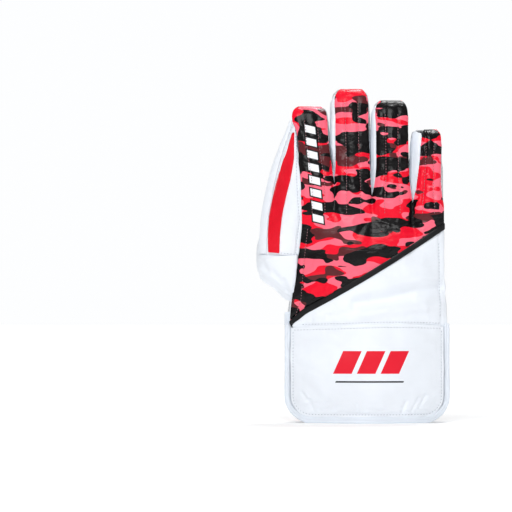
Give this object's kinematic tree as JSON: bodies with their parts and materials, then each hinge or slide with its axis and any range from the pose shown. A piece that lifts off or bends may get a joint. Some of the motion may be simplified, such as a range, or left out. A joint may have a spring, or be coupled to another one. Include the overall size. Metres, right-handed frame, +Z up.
{
  "type": "wicketkeeping glove",
  "caption": "Right-hand wicketkeeping glove with padded finger backs, pimpled rubber palm, thumb-to-index web and wide padded cuff, standing on its open cuff.",
  "frame": {"origin": "on the ground, in the middle of the glove's bounding box", "axes": "+Z up from the cuff to the fingertips, +Y from the back of the hand to the palm, +X from the thumb to the little finger"},
  "size_m": [0.1874, 0.0982, 0.3252],
  "materials": {
    "white_leather": "smooth coated, slightly glossy",
    "white_binding": "folded binding, stitched",
    "black_leather": "smooth, slightly glossy",
    "red_leather": "smooth, slightly glossy",
    "patterned_leather": "glossy, printed with a woodland pattern in red, pink, maroon and black",
    "pimpled_rubber": "matt, covered in fine pimples"
  },
  "bodies": {
    "root": {"back_camo": "patterned_leather", "back_white": "white_leather", "back_band": "black_leather", "palm_facing": "pimpled_rubber", "fourchette_index_middle": "white_leather", "fourchette_middle_ring": "white_leather", "fourchette_ring_little": "white_leather", "side_gusset_little": "white_leather", "side_gusset_index": "white_leather", "side_gusset_heel": "white_leather", "web_back": "white_leather", "web_stripe": "red_leather", "web_edge": "white_leather", "web_facing": "pimpled_rubber", "web_piping": "black_leather", "thumb_base": "white_leather", "thumb_facing": "pimpled_rubber", "thumb_back": "patterned_leather", "cuff_back": "white_leather", "cuff_palm_white": "white_leather", "cuff_palm_band": "black_leather", "cuff_palm_camo": "patterned_leather", "cuff_palm_hem": "white_leather", "cuff_binding_back": "white_binding", "cuff_binding_palm": "white_binding"}
  },
  "joints": []
}
